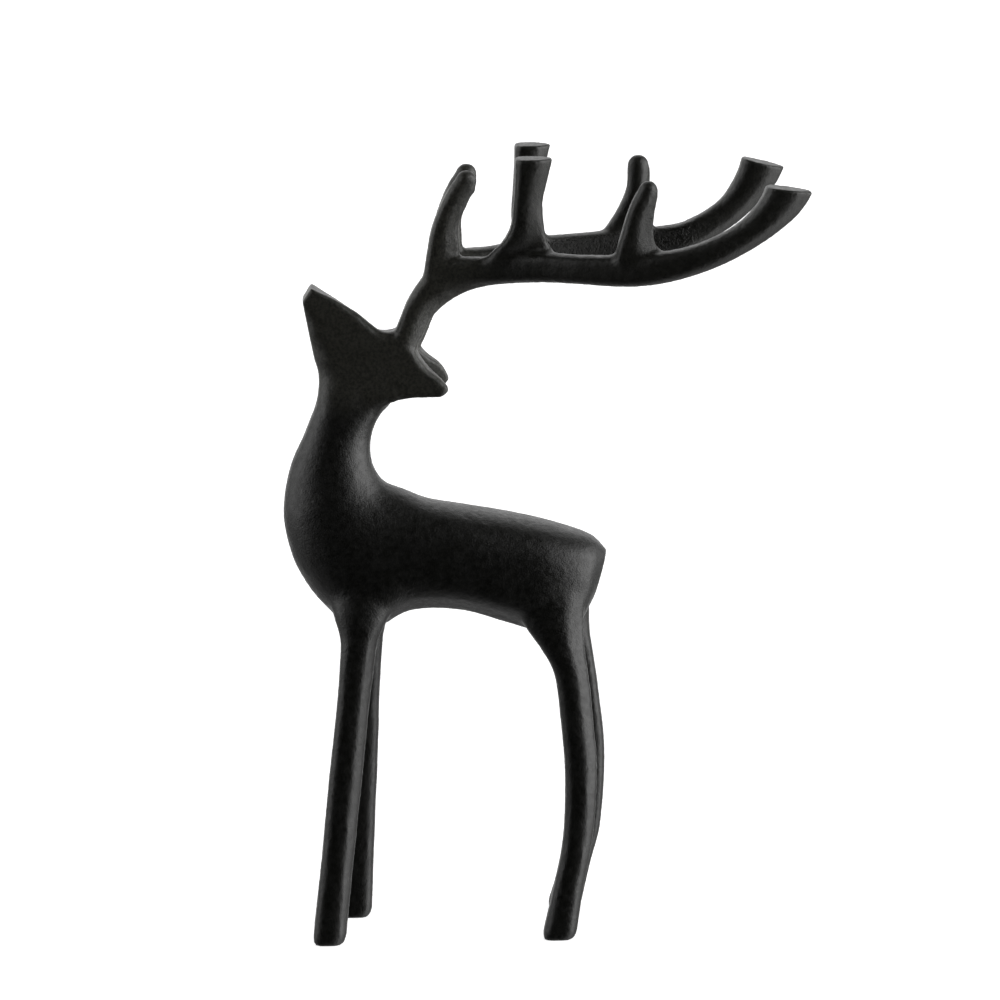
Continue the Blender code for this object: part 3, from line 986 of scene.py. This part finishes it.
@dataclass(frozen=True)
class BlackIron:
    """Black satin paint on sand-cast iron: pebbled, uneven in colour and sheen, paler under painted
    light.

    Sizes and heights are in metres. Detail is how much finer structure a noise has.
    """

    dark: Station = (0.0026, 0.0026, 0.0019, 1.0)
    pale: Station = (0.0066, 0.0067, 0.0054, 1.0)
    # Pale colour of painted light, laid in specks on the upper parts and the head
    painted_light_pale: Station = (0.070, 0.070, 0.058, 1.0)
    mottle: float = 0.0016
    least_painted_light: float = 0.35
    smooth: float = 0.35
    rough: float = 0.47
    sheen: float = 0.0022
    patch_detail: float = 3.0
    pebble: float = 0.0008
    pebble_height: float = 0.00011
    fine: float = 0.0004
    fine_height: float = 0.00005
    relief_detail: float = 2.0
    gloss: float = 0.5
    rough_gloss: float = 0.15
    pit: float = 0.0010
    pit_height: float = 0.00025
    pit_floor: float = -1.2
    noise_middle: tuple[float, float] = (0.35, 0.65)

    def material(self) -> bpy.types.Material:
        """Build the material from Object coordinates and the attributes for painted light and rough
        faces.

        Returns:
            The material.
        """
        made = bpy.data.materials.new("black_iron_paint")
        made.use_nodes = True
        wiring = Wiring(made.node_tree)
        place = wiring.add("ShaderNodeTexCoord", {}).outputs["Object"]
        # Mask of painted light: how much the upper parts and the head are painted paler
        painted_light_pale = wiring.add("ShaderNodeAttribute", {}, attribute_name="painted_light").outputs["Fac"]
        rough = wiring.add("ShaderNodeAttribute", {}, attribute_name="rough_face").outputs["Fac"]

        def noise(size: float, detail: float) -> Socket:
            """A noise with features of that size."""
            inputs = {"Scale": 1.0 / size, "Detail": detail, "Vector": place}
            return wiring.add("ShaderNodeTexNoise", inputs).outputs["Fac"]

        def spread(pattern: Socket, low: float, high: float) -> Socket:
            """The middle range of a noise stretched from low to high."""
            return wiring.mapped(pattern, self.noise_middle, (low, high))

        def masked(value: Socket, mask: Socket) -> Socket:
            """The value times the mask, held between 0 and 1."""
            node = wiring.add("ShaderNodeMath", {0: value, 1: mask}, operation="MULTIPLY", use_clamp=True)
            return node.outputs["Value"]

        def mixed(share: Socket, a: object, b: object) -> Socket:
            """Colour a, and b by its share."""
            inputs = {"Factor": share, "A": a, "B": b}
            return wiring.add("ShaderNodeMix", inputs, data_type="RGBA").outputs["Result"]

        specks = noise(self.pit, self.relief_detail)
        tone = mixed(spread(noise(self.mottle, self.patch_detail), 0.0, 1.0), self.dark, self.pale)
        pits = masked(spread(specks, self.pit_floor, 1.0), rough)
        pebbles, grains = (noise(size, self.relief_detail) for size in (self.pebble, self.fine))
        bumps = (
            (pits, self.pit_height, True),
            (pebbles, self.pebble_height, False),
            (grains, self.fine_height, False),
        )
        normal: dict[str, Socket] = {}
        for height, depth, is_dent in bumps:
            inputs = {"Strength": 1.0, "Distance": depth, "Height": height, **normal}
            bump = wiring.add("ShaderNodeBump", inputs, invert=is_dent)
            normal = {"Normal": bump.outputs["Normal"]}
        sheen = noise(self.sheen, self.patch_detail)
        finish = {
            "Metallic": 0.0,
            # Painted light: pale specks mixed into the colour on the upper parts, most on the head
            "Base Color": mixed(masked(spread(specks, self.least_painted_light, 1.0), painted_light_pale), tone, self.painted_light_pale),
            "Roughness": spread(sheen, self.smooth, self.rough),
            "Specular IOR Level": wiring.mapped(rough, (0.0, 1.0), (self.gloss, self.rough_gloss)),
            **normal,
        }
        wiring.feed(made.node_tree.nodes["Principled BSDF"], finish)
        return made


@dataclass(frozen=True)
class StagCasting:
    """The whole statue: one casting.

    Far_shift is how far the far antler is moved back and up at places x along it. Level_x is the middle
    of the level cut over the second tines. A tip cut is a side, the place x, z it goes through, and its
    fall to the rear in degrees. Cutter and cutter_width are the sizes of the blocks that cut.
    """

    skin: CastSkin = CastSkin()
    paint: BlackIron = BlackIron()
    trunk: Trunk = Trunk()
    head: Head = Head()
    groove: EarGroove = EarGroove()
    far_shift: tuple[Station, ...] = (
        (-50.0, 2.0, 0.0),
        (-38.0, 1.4, 0.0),
        (-28.0, 0.4, 0.2),
        (-10.0, 1.2, 0.6),
        (24.0, 1.2, 0.8),
        (44.0, 1.3, -0.6),
        (55.0, 1.2, -2.0),
        (64.0, 1.1, -1.6),
        (72.0, 1.0, -0.6),
        (80.0, -0.8, 0.0),
        (87.0, -2.4, 0.0),
        (93.0, -3.9, 0.0),
    )
    level_x: float = -3.0
    tip_cuts: tuple[tuple[Side, Station, float], ...] = (
        (Side.NEAR, (90.6, 288.0), 8.0),
        (Side.FAR, (86.2, 287.9), 14.0),
    )
    cutter: float = 60.0
    cutter_width: float = 200.0

    def limbs(self) -> list[Leg | Antler]:
        """Four legs and two antlers.

        Returns:
            The near and the far limb of each kind. The far ones stand a little behind the near ones.
        """
        return [
            Leg(FRONT_LEG, Side.NEAR),
            Leg(FRONT_LEG, Side.FAR, set_back=(3.0, 6.0, 10.2), bevel_share=0.4),
            Leg(HIND_LEG, Side.NEAR),
            Leg(
                HIND_LEG,
                Side.FAR,
                set_back=(3.4, 5.6, 3.4),
                knee=30.0,
                spread=4.0,
                bevel_share=0.4,
                slimmer=4.5,
            ),
            Antler(Side.NEAR, NEAR_SECOND_TINE, NEAR_THIRD_TINE),
            Antler(Side.FAR, FAR_SECOND_TINE, FAR_THIRD_TINE, shift=self.far_shift),
        ]

    def cutters(self) -> list[Surface]:
        """The bodies that are taken away from the casting.

        Returns:
            The ground, the level over the second tines, the ear groove and a cut for each beam tip.
        """
        half = self.cutter / 2
        wide = self.cutter_width
        bodies = [
            Block((0.0, 0.0, -half), (2 * wide, wide, self.cutter)).surface(),
            Block((self.level_x, 0.0, FIGURE_UNITS + half), (self.cutter, wide, self.cutter)).surface(),
            self.groove.surface(),
        ]
        for side, (x, z), tilt in self.tip_cuts:
            fall = math.radians(tilt)
            over = (x + half * math.sin(fall), side.value * wide / 4, z + half * math.cos(fall))
            bodies.append(Block(over, (self.cutter, wide / 2, self.cutter), tilt).surface())
        return bodies

    def build(self) -> bpy.types.Object:
        """Make the casting: soft forms, crisp head, flat cuts, then one fine skin with its relief.

        Returns:
            The finished piece.
        """
        soft = self.trunk.surfaces() + [self.head.surface(self.skin.core_share)]
        for limb in self.limbs():
            soft += limb.surfaces()
        stag = to_object("stag_casting", joined(soft))
        remeshed(stag, self.skin.fillet_grain, self.skin.fillet_passes, self.skin.shrinkage)
        combined(stag, self.head.surface(), Cut.ADD)
        for cutter in self.cutters():
            combined(stag, cutter, Cut.TAKE)
        remeshed(stag, self.skin.fine_grain, self.skin.fine_passes, self.skin.fine_shrinkage)
        points, edges = read_points(stag.data), read_edges(stag.data)
        for zone, passes in self.skin.melted:
            points = relaxed(points, edges, SMOOTHING_STEP * zone.weight(points), passes)
        write_points(stag.data, points)
        self.finish_skin(stag)
        return stag

    def finish_skin(self, stag: bpy.types.Object) -> None:
        """Give the skin its relief, thin its mesh, seat it in the CAD box, note its painted light and
        paint it.

        Args:
            stag: the casting, whose mesh is changed.
        """
        points, normals = read_points(stag.data), read_normals(stag.data)
        write_points(stag.data, points + normals * self.skin.relief(points, normals)[:, None])
        thin = stag.modifiers.new("thin", "DECIMATE")
        quads = len(stag.data.polygons)
        thin.ratio = min(1.0, self.skin.triangles / (2 * quads))
        thin.use_collapse_triangulate = True
        apply_modifiers(stag)
        points = read_points(stag.data)
        middle = (points.min(axis=0) + points.max(axis=0)) / 2
        points[:, :2] -= middle[:2]
        write_points(stag.data, np.clip(points, CAD_LOW / UNIT, CAD_HIGH / UNIT))
        mesh = stag.data
        normals = read_normals(mesh)
        # The painted light mask goes on the mesh as an attribute, beside the rough-face mask
        for name, measure in (("painted_light", self.skin.painted_light), ("rough_face", self.skin.inner_face)):
            layer = mesh.attributes.new(name, "FLOAT", "POINT")
            layer.data.foreach_set("value", measure(points, normals).astype(np.float32))
        mesh.materials.clear()
        mesh.materials.append(self.paint.material())
        mesh.shade_smooth()


@dataclass(frozen=True)
class Softbox:
    """A soft round patch of light far away, which fades from inner to outer. Angles are in degrees."""

    azimuth: float
    elevation: float
    inner: float
    outer: float
    strength: float

    def heading(self) -> Vector:
        """Unit vector towards the patch: azimuth 0 is +Y, behind the statue, and 90 is +X."""
        a, e = math.radians(self.azimuth), math.radians(self.elevation)
        return Vector((math.sin(a) * math.cos(e), math.cos(a) * math.cos(e), math.sin(e)))


@dataclass(frozen=True)
class Studio:
    """A pale floor, soft light from behind and both sides, and the camera at the photograph's angle.

    Angles are in degrees, the lens and the sensor in millimetres, and the rest in metres. Sight is how
    far the camera sees.
    """

    boxes: tuple[Softbox, ...] = (
        Softbox(azimuth=100.0, elevation=12.0, inner=18.0, outer=46.0, strength=3.7),
        Softbox(azimuth=105.0, elevation=-40.0, inner=10.0, outer=36.0, strength=1.5),
        Softbox(azimuth=-88.0, elevation=18.0, inner=12.0, outer=44.0, strength=1.7),
        Softbox(azimuth=0.0, elevation=20.0, inner=18.0, outer=54.0, strength=1.0),
        Softbox(azimuth=0.0, elevation=-50.0, inner=20.0, outer=80.0, strength=0.45),
    )
    fill: float = 0.009
    backdrop: float = 1.0
    floor_tone: Station = (0.8, 0.8, 0.8, 1.0)
    floor_roughness: float = 0.9
    floor_glow: float = 0.8
    floor_half: float = 30.0
    white: Station = (1.0, 1.0, 1.0, 1.0)
    camera_place: Station = (-0.068286, -1.968779, 0.531896)
    yaw: float = 1.5
    pitch: float = 10.5
    roll: float = -1.0
    lens: float = 189.6
    sensor: float = 36.0
    sight: float = 200.0

    def light(self) -> None:
        """Light the scene with the softboxes over a weak even fill, in front of a plain backdrop."""
        world = bpy.data.worlds.new("studio")
        bpy.context.scene.world = world
        world.use_nodes = True
        wiring = Wiring(world.node_tree)
        toward = wiring.add("ShaderNodeTexCoord", {}).outputs["Generated"]
        total: float | Socket = self.fill
        for box in self.boxes:
            aim = {0: toward, 1: box.heading()}
            dot = wiring.add("ShaderNodeVectorMath", aim, operation="DOT_PRODUCT")
            span = (math.cos(math.radians(box.outer)), math.cos(math.radians(box.inner)))
            ends = (0.0, box.strength)
            patch = wiring.mapped(dot.outputs["Value"], span, ends, interpolation_type="SMOOTHSTEP")
            total = wiring.add("ShaderNodeMath", {0: patch, 1: total}, operation="ADD").outputs["Value"]
        seen = wiring.add("ShaderNodeLightPath", {}).outputs["Is Camera Ray"]
        pick = wiring.add("ShaderNodeMix", {"Factor": seen, "A": total, "B": self.backdrop})
        sky = {"Color": self.white, "Strength": pick.outputs["Result"]}
        wiring.feed(world.node_tree.nodes["Background"], sky)
        bpy.context.scene.view_settings.view_transform = "Standard"

    def floor(self) -> None:
        """Lay a plain white floor that glows a little, as an overexposed one does."""
        half = self.floor_half
        mesh = bpy.data.meshes.new("floor")
        corners = [(-half, -half, 0), (half, -half, 0), (half, half, 0), (-half, half, 0)]
        mesh.from_pydata(corners, [], [(0, 1, 2, 3)])
        paper = bpy.data.materials.new("floor_paper")
        paper.use_nodes = True
        finish = {
            "Base Color": self.floor_tone,
            "Roughness": self.floor_roughness,
            "Specular IOR Level": 0.0,
            "Emission Color": self.white,
            "Emission Strength": self.floor_glow,
        }
        Wiring(paper.node_tree).feed(paper.node_tree.nodes["Principled BSDF"], finish)
        mesh.materials.append(paper)
        ground = bpy.data.objects.new("floor", mesh)
        bpy.context.scene.collection.objects.link(ground)
        ground.visible_glossy = False
        ground.visible_diffuse = False
        ground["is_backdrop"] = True

    def camera(self) -> None:
        """Set the camera up at the photograph's angle."""
        data = bpy.data.cameras.new("camera")
        data.lens = self.lens
        data.sensor_width = self.sensor
        data.clip_end = self.sight
        yaw, pitch, roll = (math.radians(angle) for angle in (self.yaw, self.pitch, self.roll))
        ahead = math.cos(pitch)
        forward = Vector((math.sin(yaw) * ahead, math.cos(yaw) * ahead, -math.sin(pitch)))
        level = Vector((math.cos(yaw), -math.sin(yaw), 0.0))
        upright = level.cross(forward)
        right = math.cos(roll) * level + math.sin(roll) * upright
        up = -math.sin(roll) * level + math.cos(roll) * upright
        turned = Matrix((right, up, -forward)).transposed().to_4x4()
        made = bpy.data.objects.new("camera", data)
        made.matrix_world = Matrix.Translation(self.camera_place) @ turned
        bpy.context.scene.collection.objects.link(made)
        bpy.context.scene.camera = made


def main() -> None:
    """Build the studio and the casting, and report each piece."""
    logging.basicConfig(level=logging.INFO, format="%(message)s", stream=sys.stdout)
    studio = Studio()
    studio.camera()
    studio.light()
    studio.floor()
    stag = StagCasting().build()
    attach(stag, "root")
    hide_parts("stag")
    log.info("%s: %d triangles", stag.name, len(stag.data.polygons))


if __name__ == "__main__":
    main()
